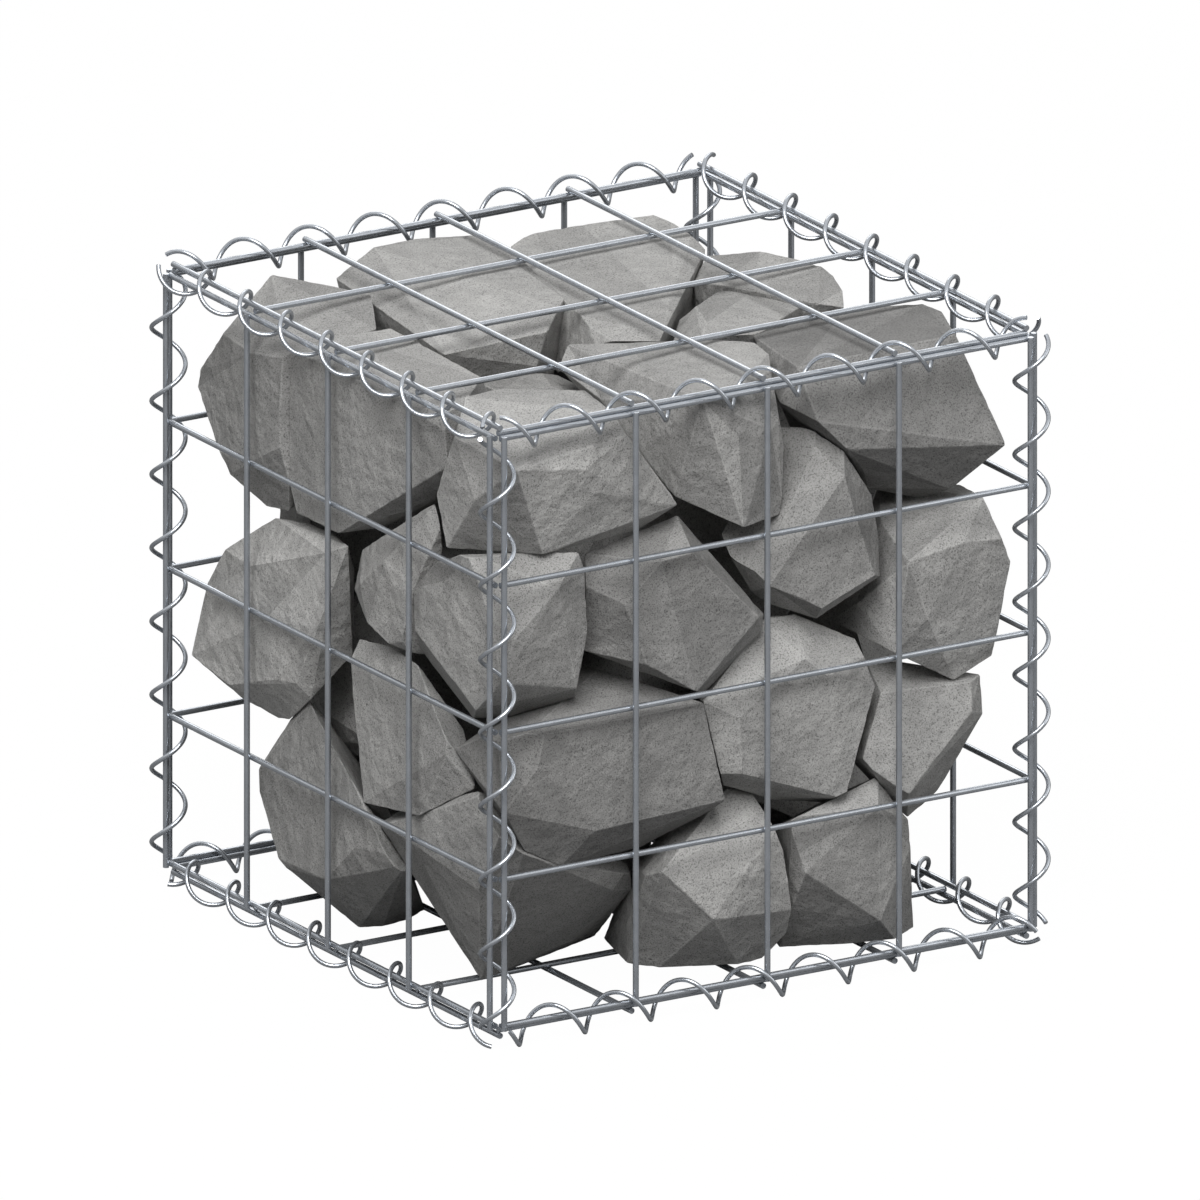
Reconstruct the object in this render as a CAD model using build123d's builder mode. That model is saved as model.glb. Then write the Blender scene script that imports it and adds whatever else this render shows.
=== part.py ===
import os
from math import cos, radians, sin

from build123d import *

# Welded mesh: square cells of round wire, in millimetres
cell = 100
cells = 4
wire = 4
weld_sink = 0.2
corner_gap = 1
rail_stub = 0.8

# Corner spirals that lace the six panels together
spiral_wire = 3
spiral_bore = 19
turns_per_cell = 2

# Stone fill
mesh_clearance = 1.5
bedding_gap = 0.2

side = cell * cells
inside = side / 2 + corner_gap
inner_layer = inside + wire / 2
outer_layer = inner_layer + wire - weld_sink
spiral_radius = (spiral_bore + spiral_wire) / 2
spiral_pitch = cell / turns_per_cell
middle = inner_layer + spiral_radius + spiral_wire / 2

os.makedirs("parts", exist_ok=True)
centre = Vector(0, 0, middle)


def save(name, part):
    part.label = name
    export_step(part, f"parts/{name}.step")


# Six flat panels. Each has five outer wires that run up it and five inner wires
# that run across it, welded at every crossing.
def mesh_panel(name, face):
    outer_length = side + wire
    inner_length = side + 2 * rail_stub
    foot = face.from_local_coords(Vector(0, -outer_length / 2, outer_layer))
    end = face.from_local_coords(Vector(-inner_length / 2, 0, inner_layer))
    with BuildPart() as outer:
        with BuildSketch(Plane(foot, x_dir=face.x_dir, z_dir=face.y_dir)):
            with GridLocations(cell, 1, cells + 1, 1):
                Circle(wire / 2)
        extrude(amount=outer_length)
    save(f"{name}_outer_wires", outer.part)
    with BuildPart() as inner:
        with BuildSketch(Plane(end, x_dir=face.y_dir, z_dir=face.x_dir)):
            with GridLocations(cell, 1, cells + 1, 1):
                Circle(wire / 2)
        extrude(amount=inner_length)
    save(f"{name}_inner_wires", inner.part)


mesh_panel("front", Plane(centre, x_dir=(1, 0, 0), z_dir=(0, -1, 0)))
mesh_panel("left", Plane(centre, x_dir=(0, -1, 0), z_dir=(-1, 0, 0)))
mesh_panel("right", Plane(centre, x_dir=(0, 1, 0), z_dir=(1, 0, 0)))
mesh_panel("back", Plane(centre, x_dir=(-1, 0, 0), z_dir=(0, 1, 0)))
mesh_panel("top", Plane(centre, x_dir=(1, 0, 0), z_dir=(0, 0, 1)))
mesh_panel("base", Plane(centre, x_dir=(1, 0, 0), z_dir=(0, 0, -1)))


# Twelve spirals: one right-handed coil of spring wire along each edge
with BuildPart() as coil:
    with BuildLine() as turns:
        Helix(spiral_pitch, side, spiral_radius)
    with BuildSketch(Plane(turns.line @ 0, z_dir=turns.line % 0)):
        Circle(spiral_wire / 2)
    sweep(is_frenet=True)


def corner_spiral(name, start, x_dir, z_dir, start_angle):
    edge = Plane(centre + Vector(start), x_dir=x_dir, z_dir=z_dir)
    with BuildPart() as spiral:
        add(coil.part.moved(edge.location * Rotation(0, 0, start_angle)))
    save(name, spiral.part)


low = -inner_layer
high = inner_layer
begin = -side / 2
corner_spiral("front_left_spiral", (low, low, begin), (1, 0, 0), (0, 0, 1), 147)
corner_spiral("front_right_spiral", (high, low, begin), (1, 0, 0), (0, 0, 1), 0)
corner_spiral("back_left_spiral", (low, high, begin), (1, 0, 0), (0, 0, 1), 48)
corner_spiral("back_right_spiral", (high, high, begin), (1, 0, 0), (0, 0, 1), 58)
corner_spiral("front_top_spiral", (begin, low, high), (0, 1, 0), (1, 0, 0), 84)
corner_spiral("front_base_spiral", (begin, low, low), (0, 1, 0), (1, 0, 0), 167)
corner_spiral("back_top_spiral", (begin, high, high), (0, 1, 0), (1, 0, 0), 45)
corner_spiral("back_base_spiral", (begin, high, low), (0, 1, 0), (1, 0, 0), 277)
corner_spiral("left_top_spiral", (low, begin, high), (1, 0, 0), (0, 1, 0), 211)
corner_spiral("left_base_spiral", (low, begin, low), (1, 0, 0), (0, 1, 0), 103)
corner_spiral("right_top_spiral", (high, begin, high), (1, 0, 0), (0, 1, 0), 306)
corner_spiral("right_base_spiral", (high, begin, low), (1, 0, 0), (0, 1, 0), 46)


# Quarried stones. Corners are given across, up and in behind the mesh, as seen by
# someone who stands off the front left corner and looks down a little. All of them
# are in shares of the basket's side: a share is a four hundredth of it.
view_turn = radians(-31.6)
view_tilt = radians(18)
view_right = Vector(cos(view_turn), sin(view_turn), 0)
view_out = Vector(sin(view_turn) * cos(view_tilt), -cos(view_turn) * cos(view_tilt), sin(view_tilt))
view_up = view_out.cross(view_right)
near_faces = [Vector(0, -1, 0), Vector(-1, 0, 0), Vector(0, 0, 1)]
stone_limit = inside - mesh_clearance
share = side / 400


def seen(right, up, back):
    across = (view_right * right + view_up * up) * share
    out = min((stone_limit - across.dot(face)) / view_out.dot(face) for face in near_faces)
    return centre + across + view_out * (out - back * share)


def on_base(right, up):
    across = (view_right * right + view_up * up) * share
    return centre + across - view_out * ((inside + across.Z) / view_out.Z)


# Stones go in one after another. Where one would run into a stone already laid,
# it is dressed flat along that stone's nearest face.
laid = []


def reach_behind(face, rock):
    flat = Plane(face)
    return max(-flat.to_local_coords(corner.center()).Z for corner in rock.vertices())


def lay(corners):
    with BuildPart() as rock:
        ConvexPolyhedron(corners)
        for other in laid:
            box = rock.part.bounding_box()
            if box.overlaps(other.bounding_box()) and rock.part.distance_to(other) < bedding_gap / 2:
                nearest = min(other.faces(), key=lambda face: reach_behind(face, rock.part))
                split(bisect_by=Plane(nearest).offset(bedding_gap), keep=Keep.TOP)
    laid.append(rock.part)
    return rock.part


def stone(name, corners, feet=(), inner=()):
    rock = lay([seen(*c) for c in corners] + [on_base(*f) for f in feet]
               + [centre + Vector(*p) * share for p in inner])
    save(name, rock)


stone("top_corner_stone",
      [(-87, 132, 4), (-65, 137, 8), (-10, 136, 10), (8, 122, 16), (17, 107, 10), (-8.5, 84.5, 3),
       (-54, 84, 1), (-94, 105.5, 4), (-100, 88, 4), (-106, 68, 8), (-99.5, 33.5, 14), (-81, 65, 3),
       (-37, 29.5, 20), (-3, 69.5, 6), (24, 65, 14), (50.5, 61.5, 22), (47, 67, 22), (24, 45, 45),
       (-60, 60, 110), (10, 75, 120), (-30, 110, 110)])
stone("corner_middle_stone",
      [(-98, 13.5, 3), (-86, 31, 6), (-14, 31, 16), (-10, 21, 18), (-8, -20, 18), (-11, -37, 18),
       (-15, -57.5, 16), (-16, -63, 34), (-57, -75.5, 50), (-82, -76.5, 40), (-80.5, -71.5, 6),
       (-63.5, -54, 11), (-27, 7.5, 4), (-55.5, -26, 9), (-120, -19.5, 6), (-121, 8, 8), (-106, 24.5, 10),
       (-72, -9.5, 10), (-117, -31, 34), (-70, 20, 110), (-30, 0, 120), (-70, -50, 110)])
stone("upper_left_face_stone",
      [(-197.5, 160.5, 14), (-174, 151, 4), (-123, 125, 6), (-92, 121, 26), (-165, 171, 6), (-135.5, 176, 3),
       (-124.5, 170.5, 3), (-77, 144.5, 12), (-201.5, 138, 16), (-201, 75, 22), (-196.5, 56, 22),
       (-169.5, 43, 12), (-99, 86, 28), (-94, 104.5, 28), (-142, 46.5, 60), (-107, 64, 60)],
      inner=[(-105, 40, 130), (-95, -60, 120), (-110, 40, 90)])
stone("front_low_stone",
      [(-94.5, -96.5, 14), (-67, -84, 13), (-36, -87, 2), (67, -66.5, 5), (81, -129.5, 6), (-3, -149.5, 3),
       (-40, -108, 1), (-62, -138, 6), (-48.5, -163, 16), (-25, -172.5, 22), (69, -138, 30), (24, -161, 45),
       (-11, -41, 80), (22, -52.5, 66), (-35, -105, 120), (0, -90, 140), (50, -100, 130)])
stone("top_front_stone",
      [(30, 153.5, 16), (75, 168.5, 3), (100, 167, 5), (109.5, 159.5, 3), (110.5, 149, 3), (92, 139, 1),
       (66.5, 129.5, 1), (116, 118, 7), (119, 101, 14), (118, 67, 20), (116, 55, 24), (93, 46.5, 8),
       (48, 67, 34), (90, 105, 2), (110.5, 110.5, 3), (-21, 165.5, 50), (15, 166.5, 30), (-27, 151, 90),
       (0, 130, 95), (95, 125, 70), (60, 120, 90)])
stone("top_right_stone",
      [(99, 171.5, 18), (159, 189, 10), (209, 192, 6), (221, 187, 5), (230, 172, 3), (128, 151, 8),
       (263, 100.5, 4), (227, 71.5, 28), (207, 66, 60), (173, 72, 58), (170, 85.5, 30), (160, 97.5, 14),
       (141, 115.5, 14), (116, 128, 48), (132, 115, 40), (235, 120, 75)],
      inner=[(110, -60, 110), (170, -90, 100), (120, -50, 160)])
stone("front_wedge_stone",
      [(116, 124, 50), (126, 118, 44), (158, 96, 22), (158.5, 80, 12), (167, 50, 8), (178, 16, 6),
       (143.5, -5.5, 5), (129, 2, 6), (110, 9, 10), (82, 36.5, 30), (75, 43.5, 38), (181.5, 15.5, 22),
       (180, 42, 26), (176, 68, 34), (140, -12, 22), (110.5, -3, 36), (98, 5, 42), (95, 40, 120),
       (122, 35, 120)])
stone("front_middle_stone",
      [(-10, 30, 44), (-9, 9, 34), (16, -2.5, 10), (25, 7.5, 7), (40, 25, 6), (60, 31, 5), (50, 55, 40),
       (103, -11, 3), (62.5, -59.5, 5), (30.5, -42, 8), (25, -26, 8), (106, -9, 18), (105, -20, 22),
       (67.5, -61, 22), (-11.5, -32.5, 42), (20, -40, 28), (10, 20, 130), (70, 10, 140), (50, -30, 130)])
stone("front_right_stone",
      [(105, -12, 36), (126, -9, 36), (165, -25, 32), (171, -37, 20), (178, -56, 14), (133, -38, 5),
       (148, -49.5, 3), (160, -124, 10), (153, -127.5, 9), (92, -112.5, 8), (78, -112.5, 14),
       (90.5, -76, 5), (67, -66, 14), (63, -60, 24), (80, -120, 30), (113, -129.5, 38), (145, -131, 35),
       (100, -50, 140), (145, -50, 130), (125, -100, 130)])
stone("right_front_stone",
      [(180, 75, 104), (233, 75, 62), (248, 67, 24), (260.5, 40, 8), (266, 24.5, 8), (256, -25, 10),
       (254, -36, 14), (229, -52, 16), (191, -34.5, 12), (150, -13.5, 78), (166, -2.5, 52), (182, 50, 60),
       (235.5, 37.5, 2), (212, -12, 2), (200, 25, 2), (200, 40, 130), (235, 40, 75), (225, -20, 80)])
stone("left_low_stone",
      [(-155.5, -25, 26), (-161.5, -38, 16), (-160, -62, 12), (-153, -131.5, 8), (-136, -135.5, 8),
       (-117, -140, 8), (-80.5, -122, 32), (-99, -79, 12), (-99.5, -100, 5), (-112, -46, 24),
       (-135, -30, 30), (-86, -84, 48), (-145, -50, 120), (-110, -85, 120), (-125, -115, 100)])
stone("left_middle_stone",
      [(-154, 32.5, 24), (-121, 54, 24), (-107, 63, 30), (-100, 35, 26), (-104, 26, 24), (-123, 9, 8),
       (-123, -18, 8), (-126, -27, 10), (-137, -28.5, 6), (-150.5, -15.5, 6), (-155.5, 10.5, 8),
       (-159, 7, 26), (-140, 25, 4), (-112, -38, 40), (-140, 10, 120), (-115, 20, 130)])
stone("upper_left_stone",
      [(-212.5, 211, 3), (-244, 172.5, 22), (-259, 149, 26), (-260.5, 138, 26), (-248, 99, 18),
       (-239.5, 81, 16), (-216, 60.5, 26), (-201.5, 57, 30), (-201.5, 100, 12), (-213.5, 96, 5),
       (-226.5, 160, 3), (-199.5, 156, 8), (-171.5, 203, 6), (-148, 197.5, 8), (-144.5, 176, 24),
       (-215, 90, 60)],
      inner=[(-125, 175, 95), (-100, 110, 100)])
stone("left_back_stone",
      [(-255.5, 5, 12), (-264.5, -36, 8), (-240, -55, 8), (-210, -51.5, 3), (-196.5, -54, 4),
       (-183, -17, 4), (-174, 5, 5), (-163, 35, 22), (-178, 30.5, 5), (-226.5, 22, 3), (-219, -15, 2),
       (-243, 32.5, 14), (-254, 11, 14), (-210, 53.5, 36), (-188, 49.5, 44), (-173, 43, 42),
       (-231, -64, 30), (-208, -76.5, 40), (-201, -77.5, 38), (-187, -64, 24), (-160, -35, 62),
       (-159, 20, 66), (-235, 10, 70), (-200, 0, 130)])
stone("base_corner_stone",
      [(-144, -143, 14), (-136, -135.5, 18), (-80, -122, 14), (-61.5, -143, 5), (-49, -163, 12),
       (-30, -172, 22), (20, -170, 50), (20.5, -187, 66), (8.5, -188, 56), (-23, -222.5, 100),
       (-79, -188, 24), (-121, -158, 12), (-98, -197, 50), (-80, -140, 140), (0, -170, 120)],
      feet=[(-77, -246), (-60, -240), (-43, -232.5), (-3, -217.5), (-95, -190), (-30, -185)])
stone("base_front_stone",
      [(82, -122, 46), (98.5, -125, 40), (106, -136, 26), (113.5, -148.5, 16), (118.5, -162, 10),
       (122, -183, 9), (124, -200.5, 14), (121, -215.5, 30), (24, -165, 80), (47.5, -147, 50),
       (69, -133, 46), (40, -176, 10), (25, -179, 40), (50, -184.5, 5), (73.5, -207, 2), (83.5, -182, 3),
       (93.5, -177, 3), (102, -166, 5), (17, -200, 70), (60, -140, 130), (100, -140, 130)],
      feet=[(105, -232.5), (90, -236), (50, -237.5), (38, -238), (17.5, -235.5), (2, -219), (60, -195)])
stone("base_left_stone",
      [(-183, -60.5, 34), (-160, -62, 40), (-200, -76.5, 44), (-221, -109, 26), (-220.5, -124, 24),
       (-208.5, -167, 16), (-203.5, -173, 18), (-177, -181, 3), (-159, -160.5, 2), (-162.5, -129, 3),
       (-165, -99.5, 6), (-173.5, -88, 10), (-157, -97, 12), (-140, -164, 8), (-126, -171.5, 18),
       (-185, -95, 120), (-150, -110, 130)],
      feet=[(-177, -195), (-156, -212), (-141, -211.5), (-125.5, -207.5), (-113, -200.5), (-130, -170),
            (-180, -160)])
stone("base_right_stone",
      [(121, -141, 14), (129, -164, 6), (133, -176.5, 4), (181.5, -207.5, 4), (180, -134, 4),
       (180, -117, 24), (170, -108, 40), (199.5, -142, 22), (201, -160, 15), (124, -200, 26),
       (111, -146, 34), (112, -136, 48), (150, -120, 130), (185, -140, 100)],
      feet=[(203, -212), (191, -219.5), (163, -222.5), (113, -225), (135, -185), (180, -185)])
stone("right_low_stone",
      [(172, -38, 66), (196, -40, 50), (229, -53, 22), (240, -53, 12), (246, -48, 22), (248, -73.5, 14),
       (240.5, -72.5, 4), (200, -125.5, 3), (193, -121.5, 5), (169.5, -105, 18), (166, -104, 34),
       (219, -123.5, 30), (211, -130.5, 36), (199, -141, 38), (182, -60, 20), (164, -108, 60), (225, -75, 75),
       (190, -70, 130)])
stone("top_back_left_stone",
      [(-171, 208.5, 28), (-147, 228.5, 2), (-120, 234, 2), (-80, 236.5, 2), (-60, 229, 3),
       (-22.5, 195.5, 6), (-27, 190.5, 8), (-34, 174, 30), (-62.5, 179.5, 24), (-82.5, 173, 30),
       (-101, 159, 42), (-141, 184.5, 72), (-146, 196.5, 62), (-41, 151.5, 110), (-86, 152, 95)],
      inner=[(-85, 150, 112), (-10, 140, 105), (-80, 30, 125), (-15, 40, 115)])
stone("top_back_stone",
      [(-58, 229, 14), (-50, 234.5, 9), (-42, 238, 6), (-12, 243, 4), (34.5, 249.5, 3), (46.5, 245, 5),
       (60, 236, 8), (68.5, 227, 16), (47, 215, 6), (44, 190, 8), (41, 173, 12), (33.5, 155, 40),
       (11, 166, 30), (-20.5, 186, 14), (-21, 194, 14), (52.5, 205, 30), (-24, 166, 80), (48, 178, 60),
       (-30, 152, 112)],
      inner=[(110, 140, 120), (45, 150, 105), (30, 30, 110), (100, 60, 110)])
stone("top_back_right_stone",
      [(69, 223, 22), (104, 226, 4), (128, 220.5, 3), (143.5, 216, 3), (151, 210, 6), (157, 200.5, 14),
       (158, 189.5, 28), (141, 192, 14), (98, 202, 14), (79, 204, 18), (60, 206, 40)],
      inner=[(150, 60, 115), (185, 20, 110), (165, -10, 100), (110, 50, 110)])
stone("top_inner_stone",
      [(62, 190, 18), (77, 200, 24), (100, 201, 28), (138, 191, 30), (155, 186, 40), (99, 172, 22),
       (66, 171, 14), (69, 180, 10), (47, 168, 56), (51, 181, 46)],
      inner=[(150, -30, 110), (90, -40, 100), (110, 20, 110)])
stone("heart_stone",
      [(-95, 153, 125), (-40, 152, 130), (-31, 138, 130), (-66, 135, 115), (-88, 146, 114)],
      inner=[(-90, -30, 95), (-20, -60, 100), (0, 30, 95), (-60, 45, 95), (-10, -30, 145)])


# The heart and the back of the fill: rougher blocks of the same stone, in courses.
# low and high are above the base mesh.
def block(x, y, half_length, half_width, low, high, turn):
    shape = [(-0.9, -0.7, 0), (0.6, -0.9, 0), (1, 0.2, 0.04), (0.3, 0.95, 0), (-0.8, 0.7, 0.03),
             (-1, -0.2, 0.35), (-0.5, -1, 0.5), (0.9, -0.8, 0.6), (1, 0.6, 0.7), (-0.1, 1, 0.7),
             (-0.9, 0.85, 0.6), (-0.7, -0.6, 0.95), (0.4, -0.7, 1), (0.8, 0.1, 0.92),
             (0.2, 0.7, 0.96), (-0.6, 0.5, 1)]
    corners = []
    for along, aside, height in shape:
        spun = Vector(along, aside, 0).rotate(Axis.Z, turn)
        to_x = (x + half_length * spun.X) * share
        to_y = (y + half_width * spun.Y) * share
        to_x = max(-stone_limit, min(stone_limit, to_x))
        to_y = max(-stone_limit, min(stone_limit, to_y))
        above_mesh = (low + (high - low) * height) * share
        corners.append(centre + Vector(to_x, to_y, above_mesh - inside))
    return corners


def course(name, blocks):
    with BuildPart() as row:
        for corners in blocks:
            add(lay(corners))
    save(name, row.part)


course("top_inner_stones", [
    block(165, 120, 42, 48, 301, 353, 10),
    block(80, 172, 58, 36, 299, 351, 75),
    block(-35, 178, 52, 28, 296, 366, 185),
])
course("upper_inner_stones", [
    block(-45, 10, 78, 66, 198, 293, 20),
    block(75, -30, 60, 60, 199, 299, 140),
    block(160, 10, 52, 66, 204, 298, 250),
    block(-88, 142, 60, 58, 203, 294, 70),
    block(25, 130, 68, 66, 198, 297, 330),
    block(142, 132, 62, 66, 201, 298, 190),
])
course("lower_inner_stones", [
    block(-85, 60, 68, 60, 97, 196, 200),
    block(50, -20, 70, 66, 102, 197, 30),
    block(158, -12, 52, 64, 104, 202, 110),
    block(-80, 150, 60, 54, 101, 201, 300),
    block(38, 130, 72, 68, 98, 196, 160),
    block(150, 122, 60, 70, 101, 199, 60),
])
course("base_inner_stones", [
    block(-30, 30, 70, 70, 0, 101, 300),
    block(118, -12, 76, 66, 0, 100, 80),
    block(-85, 137, 52, 48, 0, 100, 20),
    block(28, 134, 68, 48, 0, 98, 230),
    block(134, 118, 50, 58, 0, 100, 140),
])
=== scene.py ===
"""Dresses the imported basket: zinc on the wires, broken stone for the fill, a white studio."""

import math

import bmesh
import bpy
from bpy.props import FloatProperty, FloatVectorProperty, IntProperty, PointerProperty
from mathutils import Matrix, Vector, noise
from mathutils.geometry import delaunay_2d_cdt


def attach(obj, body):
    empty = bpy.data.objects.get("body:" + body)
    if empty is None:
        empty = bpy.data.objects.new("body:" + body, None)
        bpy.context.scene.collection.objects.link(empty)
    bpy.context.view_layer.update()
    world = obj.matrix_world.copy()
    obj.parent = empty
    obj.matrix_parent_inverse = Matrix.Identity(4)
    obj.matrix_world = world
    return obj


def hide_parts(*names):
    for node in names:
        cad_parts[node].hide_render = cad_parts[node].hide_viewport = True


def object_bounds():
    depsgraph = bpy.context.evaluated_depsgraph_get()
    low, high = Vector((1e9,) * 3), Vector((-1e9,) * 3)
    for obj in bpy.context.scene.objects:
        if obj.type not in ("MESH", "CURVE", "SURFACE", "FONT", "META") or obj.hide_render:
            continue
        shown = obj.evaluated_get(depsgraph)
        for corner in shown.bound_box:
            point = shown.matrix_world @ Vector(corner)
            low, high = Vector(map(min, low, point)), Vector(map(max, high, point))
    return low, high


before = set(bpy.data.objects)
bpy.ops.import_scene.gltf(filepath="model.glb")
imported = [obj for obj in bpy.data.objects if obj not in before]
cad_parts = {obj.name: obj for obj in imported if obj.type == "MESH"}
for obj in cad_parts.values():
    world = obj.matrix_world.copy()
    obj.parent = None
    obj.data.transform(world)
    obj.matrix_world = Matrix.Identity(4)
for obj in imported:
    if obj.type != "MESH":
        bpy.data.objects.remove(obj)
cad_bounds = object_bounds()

bl_info = {
    "name": "Stone filled gabion basket",
    "version": (1, 0, 0),
    "blender": (4, 5, 0),
    "location": "3D View > Sidebar > Gabion",
    "description": "Finishes the wires of a gabion basket and breaks the faces of its stones",
    "category": "Object",
}

# Noise of the broken stone, as scale, detail and roughness
CLOUDS = (22.0, 6.0, 0.6)
PATCHES = (75.0, 5.0, 0.6)
DENTS = (85.0, 4.0, 0.5)
GRAIN = (1000.0, 3.0, 0.7)
FINE_GRAIN = (2200.0, 2.0, 0.6)

# Noise of the zinc, likewise
ZINC_CLOUD = (90.0, 4.0, 0.6)
ZINC_SCRATCH = (700.0, 3.0, 0.6)

# What a range of noise turns into, as the range and its effect
MOTTLE = ((0.38, 0.64), (0.0, 1.0))
SPECKS = ((0.37, 0.48), (0.4, 1.03))
SPARKLE = ((0.35, 0.65), (0.86, 1.12))
DENT_SHARE = ((0.4, 0.62), (0.55, 1.0))
STONE_ROUGHNESS = ((0.3, 0.7), (0.78, 0.94))
ZINC_PATCHES = ((0.35, 0.65), (0.0, 1.0))
ZINC_ROUGHNESS = ((0.3, 0.7), (0.27, 0.21))

# Shares of the clouds and the patches in the mottle, and of the grain in the relief
CLOUD_SHARE = 0.55
PATCH_SHARE = 0.45
GRAIN_SHARE = 0.06
# Paleness of the worn edge strips: partly wear, partly a painted highlight along the edges
EDGE_WEAR_AND_HIGHLIGHT = 0.1

STONE_SPECULAR = 0.3
ZINC_METAL = 0.8

# Bumps, as strength and height in metres
STONE_BUMP = (1.0, 0.0034)
ZINC_BUMP = (0.03, 0.0003)

# Waves to the metre, in the unevenness of the rocks and from face to face
EDGE_WAVES = 140.0
SLOW_WAVES = 42.0
QUICK_WAVES = 110.0
FACE_WAVES = 90.0
SLOW_SHARE = 0.7
QUICK_SHARE = 0.3
NIBBLE_START = 0.1
SEED_SHIFT = (1.7, 0.9, 2.3)

# Steps of the even triangles: rows lie closer than points do, and both stay clear of the sides
ROW_SHARE = 0.87
CLEAR_SHARE = 0.45
MERGE_DISTANCE = 1e-5
TILE_PRECISION = 1e-9
FLAT_TURN = math.radians(0.3)
CREASE_TURN = math.radians(3)
WEAR_SEGMENTS = 2

FLOOR_GREY = (0.25, 0.25, 0.25, 1.0)
FLOOR_ROUGHNESS = 0.9
FLOOR_GLOW = 1.03
FLOOR_WHITENESS = 0.96
WHITE = (1.0, 1.0, 1.0, 1.0)

# Heights in the reflected room between which the wall turns into the ceiling
CEILING_RISE = (0.1, 0.6)

CAMERA_DISTANCE = 2.5

# Soft square lights, as place and size in metres
LIGHTS = {
    "key_light": ((-1.8, -2.15, 3.5), 2.6),
    "fill_light": ((1.5, -1.2, 0.9), 1.2),
    "back_light": ((1.3, 2.7, 1.9), 2.0),
}

# How light each stone is beside its neighbours, and the tone of those not named here
OTHER_TONE = 0.95
STONE_TONES = {
    "top_corner_stone": 1.1,
    "corner_middle_stone": 0.99,
    "upper_left_face_stone": 1.1,
    "front_low_stone": 0.66,
    "top_front_stone": 1.04,
    "top_right_stone": 0.63,
    "front_wedge_stone": 0.84,
    "front_middle_stone": 0.73,
    "front_right_stone": 1.06,
    "right_front_stone": 1.06,
    "left_low_stone": 1.0,
    "left_middle_stone": 1.06,
    "upper_left_stone": 0.94,
    "left_back_stone": 1.34,
    "base_corner_stone": 0.89,
    "base_front_stone": 1.08,
    "base_left_stone": 0.88,
    "base_right_stone": 0.96,
    "right_low_stone": 1.04,
    "top_back_left_stone": 1.08,
    "top_back_stone": 1.12,
    "top_back_right_stone": 1.0,
    "top_inner_stone": 1.0,
}


class GabionStoneSettings(bpy.types.PropertyGroup):
    """Sizes and colours of the broken stone"""

    edge_wear: FloatProperty(
        name="Edge wear", description="Width of the worn strip along a sharp edge",
        default=0.0008, min=0.0002, max=0.01, unit="LENGTH",
    )
    sharp_edge: FloatProperty(
        name="Sharp edge", description="Least turn between two faces whose edge is worn",
        default=math.radians(16), min=0.0, max=math.pi, subtype="ANGLE",
    )
    facet_step: FloatProperty(
        name="Facet step", description="Longest edge of the mesh on a broken face",
        default=0.005, min=0.002, max=0.03, unit="LENGTH",
    )
    swell: FloatProperty(
        name="Swell", description="Depth of the slow unevenness of a broken face",
        default=0.0006, min=0.0, max=0.01, unit="LENGTH",
    )
    nibble: FloatProperty(
        name="Nibble", description="Depth of the small breaks along a sharp edge",
        default=0.0007, min=0.0, max=0.01, unit="LENGTH",
    )
    # Painted shade: how much darker a face is painted where it looks down
    painted_under_shade: FloatProperty(
        name="Under shade", description="How much darker and damper a face is that looks down",
        default=0.22, min=0.0, max=1.0,
    )
    face_variety: FloatProperty(
        name="Face variety",
        description="How much the tone changes from one broken face to the next",
        default=0.16, min=0.0, max=1.0,
    )
    seed: IntProperty(
        name="Seed", description="Start of the chips and hollows", default=7, min=0,
    )
    pale: FloatVectorProperty(
        name="Pale", description="Pale colour of the stone", subtype="COLOR",
        default=(0.41, 0.405, 0.394), min=0.0, max=1.0,
    )
    dark: FloatVectorProperty(
        name="Dark", description="Dark colour of the stone", subtype="COLOR",
        default=(0.31, 0.307, 0.299), min=0.0, max=1.0,
    )


class GabionWireSettings(bpy.types.PropertyGroup):
    """Colours of the galvanised wire"""

    bright: FloatVectorProperty(
        name="Bright zinc", description="Colour of the bright zinc", subtype="COLOR",
        default=(0.43, 0.455, 0.49), min=0.0, max=1.0,
    )
    dull: FloatVectorProperty(
        name="Dull zinc", description="Colour of the dull zinc", subtype="COLOR",
        default=(0.375, 0.398, 0.43), min=0.0, max=1.0,
    )


class GabionStageSettings(bpy.types.PropertyGroup):
    """Sizes of the studio"""

    view_turn: FloatProperty(
        name="View turn", description="Turn of the camera about the basket, from its front",
        default=math.radians(-31.6), subtype="ANGLE",
    )
    view_tilt: FloatProperty(
        name="View tilt", description="Height of the camera over the level",
        default=math.radians(18.0), subtype="ANGLE",
    )
    view_width: FloatProperty(
        name="View width", description="Width of the picture at the basket",
        default=0.7767, min=0.1, unit="LENGTH",
    )
    floor_size: FloatProperty(
        name="Floor size", description="Length of a side of the floor",
        default=12.0, min=1.0, unit="LENGTH",
    )
    key_power: FloatProperty(
        name="Key light", description="Power of the soft light over the near corner, in watts",
        default=230.0, min=0.0, unit="POWER",
    )
    fill_power: FloatProperty(
        name="Fill light", description="Power of the soft light from the right, in watts",
        default=7.0, min=0.0, unit="POWER",
    )
    back_power: FloatProperty(
        name="Back light", description="Power of the soft light from behind, in watts",
        default=26.0, min=0.0, unit="POWER",
    )
    room_light: FloatProperty(
        name="Room light", description="Strength of the light from all round",
        default=0.15, min=0.0,
    )
    wall_gleam: FloatProperty(
        name="Wall gleam", description="Brightness of the room's walls in the zinc",
        default=0.3, min=0.0,
    )
    ceiling_gleam: FloatProperty(
        name="Ceiling gleam", description="Brightness of the room's ceiling in the zinc",
        default=1.0, min=0.0,
    )


def new_material(name):
    material = bpy.data.materials.new(name)
    material.use_nodes = True
    tree = material.node_tree
    shader = next(node for node in tree.nodes if node.type == "BSDF_PRINCIPLED")
    return material, tree, shader


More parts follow.
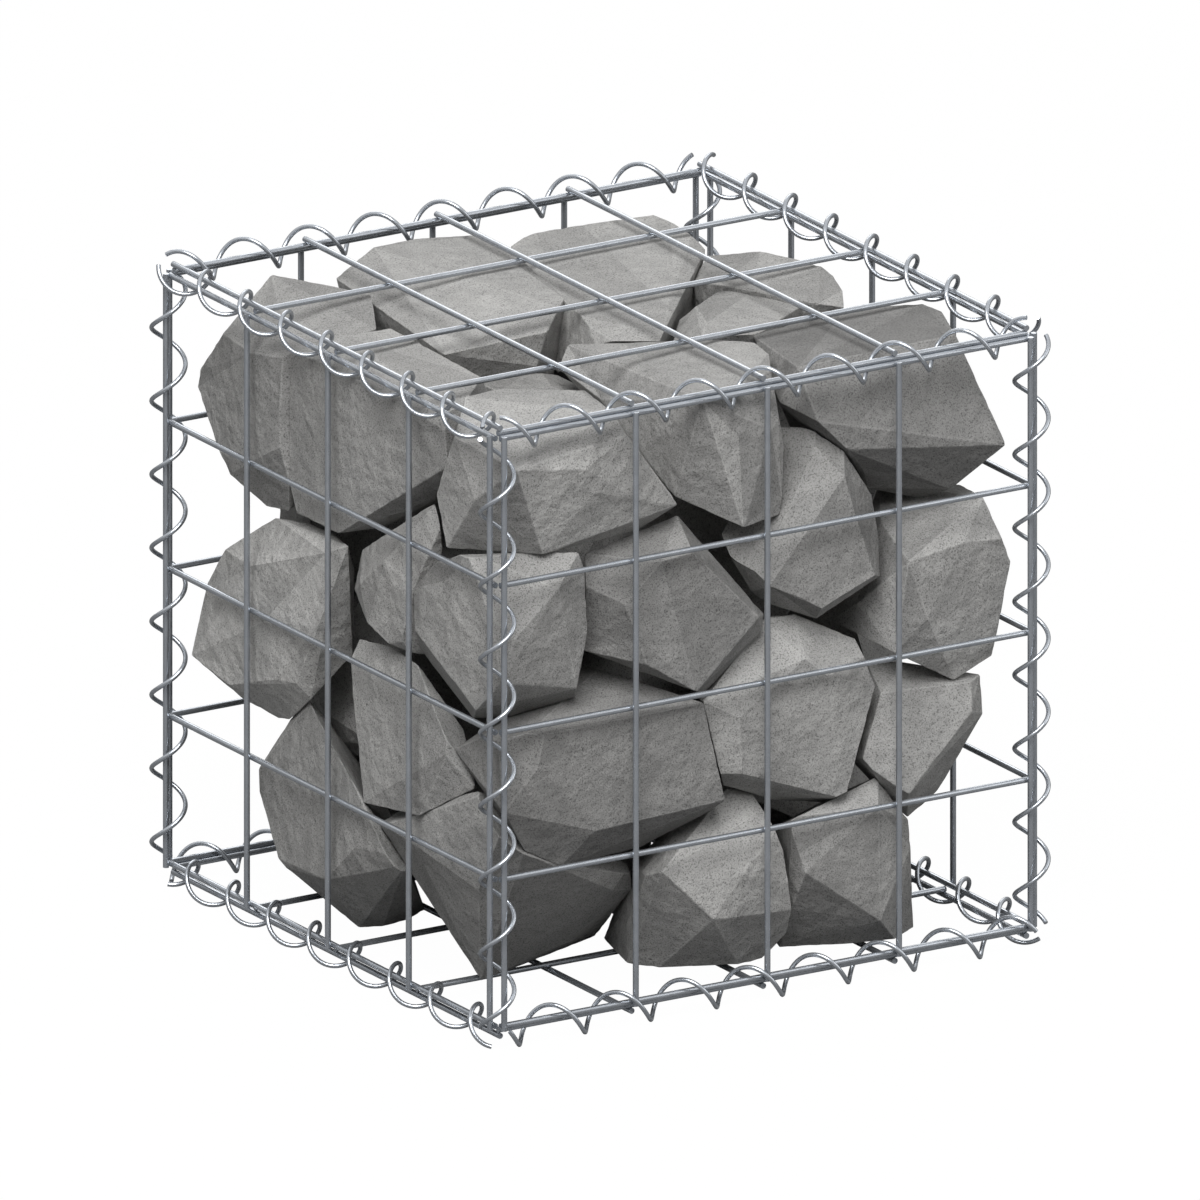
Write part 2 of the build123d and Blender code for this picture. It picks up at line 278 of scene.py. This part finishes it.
def feed(tree, sockets, values):
    """Link each socket to its value, or set it where the value is plain"""
    for socket, value in zip(sockets, values):
        if isinstance(value, bpy.types.NodeSocket):
            tree.links.new(value, socket)
        else:
            socket.default_value = value


def noise_node(tree, place, texture):
    node = tree.nodes.new("ShaderNodeTexNoise")
    names = ("Vector", "Scale", "Detail", "Roughness")
    feed(tree, [node.inputs[name] for name in names], (place, *texture))
    return node.outputs["Fac"]


def remap(tree, value, ranges):
    node = tree.nodes.new("ShaderNodeMapRange")
    (low, high), (to_low, to_high) = ranges
    feed(tree, node.inputs[0:5], (value, low, high, to_low, to_high))
    return node.outputs["Result"]


def combine(tree, operation, first, second):
    node = tree.nodes.new("ShaderNodeMath")
    node.operation = operation
    feed(tree, node.inputs, (first, second))
    return node.outputs[0]


def mix_colours(tree, amount, first, second, blend="MIX"):
    node = tree.nodes.new("ShaderNodeMix")
    node.data_type = "RGBA"
    node.blend_type = blend
    feed(tree, (node.inputs[0], node.inputs[6], node.inputs[7]), (amount, first, second))
    return node.outputs[2]


def mix_values(tree, amount, first, second):
    node = tree.nodes.new("ShaderNodeMix")
    feed(tree, (node.inputs[0], node.inputs[2], node.inputs[3]), (amount, first, second))
    return node.outputs[0]


def new_group(name, inputs, outputs):
    group = bpy.data.node_groups.new(name, "ShaderNodeTree")
    for label, kind, default in inputs:
        socket = group.interface.new_socket(label, in_out="INPUT", socket_type=kind)
        socket.default_value = default
    for label, kind in outputs:
        group.interface.new_socket(label, in_out="OUTPUT", socket_type=kind)
    return group, group.nodes.new("NodeGroupInput"), group.nodes.new("NodeGroupOutput")


def broken_stone_group():
    """Mottled colour, roughness and relief of freshly broken stone, with a painted highlight on
    the edge strips and painted shade carried in the tone
    """
    group, given, made = new_group(
        "broken_stone",
        [
            ("Pale", "NodeSocketColor", (0.4, 0.4, 0.4, 1.0)),
            ("Dark", "NodeSocketColor", (0.2, 0.2, 0.2, 1.0)),
            ("Tone", "NodeSocketFloat", 1.0),
            ("Edge", "NodeSocketFloat", 0.0),
        ],
        [
            ("Color", "NodeSocketColor"),
            ("Roughness", "NodeSocketFloat"),
            ("Height", "NodeSocketFloat"),
        ],
    )
    place = group.nodes.new("ShaderNodeTexCoord").outputs["Object"]
    clouds = noise_node(group, place, CLOUDS)
    patches = noise_node(group, place, PATCHES)
    grain = noise_node(group, place, GRAIN)
    fine = noise_node(group, place, FINE_GRAIN)
    dents = noise_node(group, place, DENTS)

    mottle = combine(
        group, "ADD",
        combine(group, "MULTIPLY", clouds, CLOUD_SHARE),
        combine(group, "MULTIPLY", patches, PATCH_SHARE),
    )
    base = mix_colours(
        group, remap(group, mottle, MOTTLE), given.outputs["Dark"], given.outputs["Pale"]
    )
    specks = remap(group, grain, SPECKS)
    sparkle = remap(group, fine, SPARKLE)
    both = combine(group, "MULTIPLY", specks, sparkle)
    # The tone holds the random tones of faces and stones, and the painted shade of faces that
    # look down
    shade = combine(group, "MULTIPLY", both, given.outputs["Tone"])
    # The worn edge strips are painted paler, partly as wear and partly as a painted highlight
    wear_and_highlight_on_edges = combine(group, "MULTIPLY", given.outputs["Edge"], EDGE_WEAR_AND_HIGHLIGHT)
    tone_wear_and_painted_light = combine(group, "ADD", shade, wear_and_highlight_on_edges)
    tint = group.nodes.new("ShaderNodeCombineColor")
    for socket in tint.inputs[:3]:
        group.links.new(tone_wear_and_painted_light, socket)
    colour = mix_colours(group, 1.0, base, tint.outputs[0], "MULTIPLY")
    group.links.new(colour, made.inputs["Color"])

    group.links.new(remap(group, patches, STONE_ROUGHNESS), made.inputs["Roughness"])

    relief = combine(
        group, "ADD",
        combine(group, "MULTIPLY", dents, remap(group, clouds, DENT_SHARE)),
        combine(group, "MULTIPLY", grain, GRAIN_SHARE),
    )
    group.links.new(relief, made.inputs["Height"])
    return group


def zinc_group():
    """Cloudy zinc coat, a little duller in patches"""
    group, given, made = new_group(
        "zinc_coat",
        [
            ("Bright", "NodeSocketColor", (0.5, 0.5, 0.5, 1.0)),
            ("Dull", "NodeSocketColor", (0.3, 0.3, 0.3, 1.0)),
        ],
        [
            ("Color", "NodeSocketColor"),
            ("Roughness", "NodeSocketFloat"),
            ("Height", "NodeSocketFloat"),
        ],
    )
    place = group.nodes.new("ShaderNodeTexCoord").outputs["Object"]
    cloud = noise_node(group, place, ZINC_CLOUD)
    scratch = noise_node(group, place, ZINC_SCRATCH)
    amount = remap(group, cloud, ZINC_PATCHES)
    colour = mix_colours(group, amount, given.outputs["Dull"], given.outputs["Bright"])
    group.links.new(colour, made.inputs["Color"])
    group.links.new(remap(group, cloud, ZINC_ROUGHNESS), made.inputs["Roughness"])
    group.links.new(scratch, made.inputs["Height"])
    return group


def bump_from(tree, height, shader, amount):
    bump = tree.nodes.new("ShaderNodeBump")
    feed(tree, (bump.inputs["Strength"], bump.inputs["Distance"]), amount)
    tree.links.new(height, bump.inputs["Height"])
    tree.links.new(bump.outputs["Normal"], shader.inputs["Normal"])


def place_group(tree, group, values):
    node = tree.nodes.new("ShaderNodeGroup")
    node.node_tree = group
    for name, value in values.items():
        node.inputs[name].default_value = value
    return node


def stone_material(settings):
    material, tree, shader = new_material("broken_grey_stone")
    surface = place_group(
        tree, broken_stone_group(), {"Pale": (*settings.pale, 1.0), "Dark": (*settings.dark, 1.0)}
    )
    for layer, socket in (("tone", "Tone"), ("edge", "Edge")):
        reader = tree.nodes.new("ShaderNodeAttribute")
        reader.attribute_name = layer
        tree.links.new(reader.outputs["Fac"], surface.inputs[socket])
    tree.links.new(surface.outputs["Color"], shader.inputs["Base Color"])
    tree.links.new(surface.outputs["Roughness"], shader.inputs["Roughness"])
    shader.inputs["Specular IOR Level"].default_value = STONE_SPECULAR
    bump_from(tree, surface.outputs["Height"], shader, STONE_BUMP)
    return material


def zinc_material(settings):
    material, tree, shader = new_material("galvanised_wire")
    surface = place_group(
        tree, zinc_group(), {"Bright": (*settings.bright, 1.0), "Dull": (*settings.dull, 1.0)}
    )
    tree.links.new(surface.outputs["Color"], shader.inputs["Base Color"])
    tree.links.new(surface.outputs["Roughness"], shader.inputs["Roughness"])
    shader.inputs["Metallic"].default_value = ZINC_METAL
    bump_from(tree, surface.outputs["Height"], shader, ZINC_BUMP)
    return material


def turn_of(edge):
    """Angle between the two faces that meet at an edge"""
    return edge.calc_face_angle(0.0)


def tone_faces(rock, settings, shade, seed):
    """Give each broken face a tone of its own, with painted shade on the faces that look down"""
    tone = rock.faces.layers.float.new("tone")
    rock.normal_update()
    for face in rock.faces:
        spot = face.calc_center_median() * FACE_WAVES + Vector((seed, 0.0, 0.0))
        variety = settings.face_variety * (noise.cell(spot) - 0.5)
        # Painted shade: a face that looks down is darkened by how far it turns down
        down = max(0.0, -face.normal.z)
        face[tone] = shade * (1.0 + variety - settings.painted_under_shade * down)


def wear_edges(rock, settings):
    """Bevel the sharp edges, and mark the narrow faces that this makes"""
    strip = rock.faces.layers.float.new("edge")
    sharp = [edge for edge in rock.edges if turn_of(edge) > settings.sharp_edge]
    result = bmesh.ops.bevel(
        rock, geom=sharp, offset=settings.edge_wear, offset_type="OFFSET",
        segments=WEAR_SEGMENTS, profile=0.5, affect="EDGES", clamp_overlap=True, material=-1,
    )
    for face in result["faces"]:
        face[strip] = 1.0
    return strip


def split_edges(rock, step):
    """Cut every edge into equal lengths no longer than the step"""
    for edge in list(rock.edges):
        start, end = edge.verts
        rest = edge
        for left in range(math.ceil(edge.calc_length() / step), 1, -1):
            start = bmesh.utils.edge_split(rest, start, 1.0 / left)[1]
            rest = next(part for part in start.link_edges if part.other_vert(start) is end)


def inner_points(outline, step):
    """Staggered rows of points inside a flat outline, clear of its edges"""
    low_x, high_x = min(p.x for p in outline), max(p.x for p in outline)
    low_y, high_y = min(p.y for p in outline), max(p.y for p in outline)
    sides = list(zip(outline, outline[1:] + outline[:1]))
    points = []
    row_step = step * ROW_SHARE
    for row in range(1, int((high_y - low_y) / row_step) + 1):
        for column in range(int((high_x - low_x) / step) + 1):
            stagger = 0.5 * (row % 2)
            point = Vector((low_x + (column + stagger) * step, low_y + row * row_step))
            clear = min((b - a).cross(point - a) / (b - a).length for a, b in sides)
            if clear > CLEAR_SHARE * step:
                points.append(point)
    return points


def tile_face(rock, face, strip, step):
    """Cover one flat face with even triangles"""
    corners = list(face.verts)
    normal = face.normal.copy()
    across = face.calc_tangent_edge()
    along = normal.cross(across)
    origin = corners[0].co.copy()
    outline = [
        Vector(((corner.co - origin).dot(across), (corner.co - origin).dot(along)))
        for corner in corners
    ]
    inner = [] if face[strip] else inner_points(outline, step)
    ring = [(k, (k + 1) % len(outline)) for k in range(len(outline))]
    points, _, triangles, origins, _, _ = delaunay_2d_cdt(
        outline + inner, ring, [], 1, TILE_PRECISION
    )
    verts = []
    for point, sources in zip(points, origins):
        if sources and sources[0] < len(corners):
            verts.append(corners[sources[0]])
        else:
            verts.append(rock.verts.new(origin + across * point.x + along * point.y))
    for triangle in triangles:
        rock.faces.new([verts[k] for k in triangle], face)
    rock.faces.remove(face)


def refine(rock, strip, step):
    """Cut the stone's faces into even triangles"""
    rock.normal_update()
    split_edges(rock, step)
    for face in [face for face in rock.faces if len(face.verts) > 3]:
        tile_face(rock, face, strip, step)


def roughen(rock, strip, settings, seed):
    """Push the faces inward by slow noise, and the worn edges by quicker noise"""
    shift = Vector([seed * share for share in SEED_SHIFT])
    rock.normal_update()
    moves = []
    for vertex in rock.verts:
        spot = vertex.co + shift
        if any(face[strip] for face in vertex.link_faces):
            depth = settings.nibble * max(0.0, noise.noise(spot * EDGE_WAVES) + NIBBLE_START)
        else:
            slow = 0.5 + 0.5 * noise.noise(spot * SLOW_WAVES)
            quick = 0.5 + 0.5 * noise.noise(spot * QUICK_WAVES)
            depth = settings.swell * (SLOW_SHARE * slow + QUICK_SHARE * quick)
        moves.append((vertex, vertex.normal * -depth))
    for vertex, move in moves:
        vertex.co += move


def break_stone(node, settings, material, seed):
    """A stone with worn edges and uneven faces, inside the plain solid's own planes"""
    rock = bmesh.new()
    rock.from_mesh(node.data)
    bmesh.ops.remove_doubles(rock, verts=rock.verts, dist=MERGE_DISTANCE)
    bmesh.ops.dissolve_limit(
        rock, angle_limit=FLAT_TURN, use_dissolve_boundaries=False,
        verts=rock.verts, edges=rock.edges,
    )
    tone_faces(rock, settings, STONE_TONES.get(node.name, OTHER_TONE), seed)
    strip = wear_edges(rock, settings)
    refine(rock, strip, settings.facet_step)
    for edge in rock.edges:
        edge.smooth = turn_of(edge) < CREASE_TURN
    roughen(rock, strip, settings, seed)
    for face in rock.faces:
        face.smooth = True
    mesh = bpy.data.meshes.new(node.name.replace("_stone", "_rock"))
    rock.to_mesh(mesh)
    rock.free()
    mesh.materials.append(material)
    piece = bpy.data.objects.new(mesh.name, mesh)
    bpy.context.scene.collection.objects.link(piece)
    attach(piece, "root")
    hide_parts(node.name)


class GABION_OT_wires(bpy.types.Operator):
    """Give the mesh panels and the corner spirals their zinc finish"""

    bl_idname = "gabion.wires"
    bl_label = "Finish wires"

    def execute(self, context):
        material = zinc_material(context.scene.gabion_wires)
        for name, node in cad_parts.items():
            if name.endswith(("_wires", "_spiral")):
                node.data.materials.clear()
                node.data.materials.append(material)
        return {"FINISHED"}


class GABION_OT_stones(bpy.types.Operator):
    """Break the faces and chip the edges of every stone"""

    bl_idname = "gabion.stones"
    bl_label = "Break stones"

    def execute(self, context):
        settings = context.scene.gabion_stones
        material = stone_material(settings)
        names = sorted(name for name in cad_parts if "_stone" in name)
        for number, name in enumerate(names):
            break_stone(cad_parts[name], settings, material, settings.seed + number)
        return {"FINISHED"}


def floor_material():
    """White to the camera, with a faint trace of the basket's shadow"""
    material, tree, shader = new_material("studio_floor")
    shader.inputs["Base Color"].default_value = FLOOR_GREY
    shader.inputs["Roughness"].default_value = FLOOR_ROUGHNESS
    glow = tree.nodes.new("ShaderNodeEmission")
    glow.inputs["Strength"].default_value = FLOOR_GLOW
    path = tree.nodes.new("ShaderNodeLightPath")
    blend = tree.nodes.new("ShaderNodeMixShader")
    seen = combine(tree, "MULTIPLY", path.outputs["Is Camera Ray"], FLOOR_WHITENESS)
    tree.links.new(seen, blend.inputs["Fac"])
    tree.links.new(shader.outputs[0], blend.inputs[1])
    tree.links.new(glow.outputs[0], blend.inputs[2])
    output = next(node for node in tree.nodes if node.type == "OUTPUT_MATERIAL")
    tree.links.new(blend.outputs[0], output.inputs["Surface"])
    return material


def studio_world(settings):
    """White behind the basket, dim on the stones, and a bright ceiling in the zinc"""
    world = bpy.data.worlds.new("studio")
    world.use_nodes = True
    tree = world.node_tree
    background = tree.nodes["Background"]
    background.inputs["Color"].default_value = WHITE
    direction = tree.nodes.new("ShaderNodeTexCoord").outputs["Generated"]
    split = tree.nodes.new("ShaderNodeSeparateXYZ")
    tree.links.new(direction, split.inputs[0])
    gleam = (settings.wall_gleam, settings.ceiling_gleam)
    room = remap(tree, split.outputs["Z"], (CEILING_RISE, gleam))
    path = tree.nodes.new("ShaderNodeLightPath")
    glossy = mix_values(tree, path.outputs["Is Glossy Ray"], settings.room_light, room)
    strength = mix_values(tree, path.outputs["Is Camera Ray"], glossy, 1.0)
    tree.links.new(strength, background.inputs["Strength"])
    bpy.context.scene.world = world


def studio_light(name, place, aim, size, power):
    lamp = bpy.data.lights.new(name, "AREA")
    lamp.shape = "SQUARE"
    lamp.size = size
    lamp.energy = power
    light = bpy.data.objects.new(name, lamp)
    light.location = place
    light.rotation_euler = (Vector(place) - Vector(aim)).to_track_quat("Z", "Y").to_euler()
    bpy.context.scene.collection.objects.link(light)


class GABION_OT_stage(bpy.types.Operator):
    """Set the camera, the lights and the white floor"""

    bl_idname = "gabion.stage"
    bl_label = "Set the stage"

    def execute(self, context):
        settings = context.scene.gabion_stage
        low, high = (Vector(corner) for corner in cad_bounds)
        middle = (low + high) / 2
        flat = math.cos(settings.view_tilt)
        out = Vector((
            math.sin(settings.view_turn) * flat,
            -math.cos(settings.view_turn) * flat,
            math.sin(settings.view_tilt),
        ))
        camera = bpy.data.objects.new("camera", bpy.data.cameras.new("camera"))
        camera.data.type = "ORTHO"
        camera.data.ortho_scale = settings.view_width
        camera.location = middle + out * CAMERA_DISTANCE
        camera.rotation_euler = out.to_track_quat("Z", "Y").to_euler()
        context.scene.collection.objects.link(camera)
        context.scene.camera = camera

        ground = bmesh.new()
        bmesh.ops.create_grid(ground, x_segments=1, y_segments=1, size=settings.floor_size / 2)
        mesh = bpy.data.meshes.new("floor")
        ground.to_mesh(mesh)
        ground.free()
        mesh.materials.append(floor_material())
        floor = bpy.data.objects.new("floor", mesh)
        context.scene.collection.objects.link(floor)

        studio_world(settings)
        powers = {
            "key_light": settings.key_power,
            "fill_light": settings.fill_power,
            "back_light": settings.back_power,
        }
        for name, (place, size) in LIGHTS.items():
            studio_light(name, place, middle, size, powers[name])
        context.scene.view_settings.view_transform = "Standard"
        return {"FINISHED"}


class GABION_PT_panel(bpy.types.Panel):
    """Steps that dress the basket"""

    bl_idname = "GABION_PT_panel"
    bl_label = "Gabion basket"
    bl_space_type = "VIEW_3D"
    bl_region_type = "UI"
    bl_category = "Gabion"

    def draw(self, context):
        scene = context.scene
        for heading, settings, operator in (
            ("Stage", scene.gabion_stage, GABION_OT_stage),
            ("Wires", scene.gabion_wires, GABION_OT_wires),
            ("Stones", scene.gabion_stones, GABION_OT_stones),
        ):
            box = self.layout.box()
            box.label(text=heading)
            for name in settings.__annotations__:
                box.prop(settings, name)
            box.operator(operator.bl_idname)


CLASSES = (
    GabionStoneSettings,
    GabionWireSettings,
    GabionStageSettings,
    GABION_OT_wires,
    GABION_OT_stones,
    GABION_OT_stage,
    GABION_PT_panel,
)


def register():
    for cls in CLASSES:
        bpy.utils.register_class(cls)
    bpy.types.Scene.gabion_stones = PointerProperty(type=GabionStoneSettings)
    bpy.types.Scene.gabion_wires = PointerProperty(type=GabionWireSettings)
    bpy.types.Scene.gabion_stage = PointerProperty(type=GabionStageSettings)


def unregister():
    del bpy.types.Scene.gabion_stage
    del bpy.types.Scene.gabion_wires
    del bpy.types.Scene.gabion_stones
    for cls in reversed(CLASSES):
        bpy.utils.unregister_class(cls)


def main():
    register()
    bpy.ops.gabion.stage()
    bpy.ops.gabion.wires()
    bpy.ops.gabion.stones()


if __name__ == "__main__":
    main()
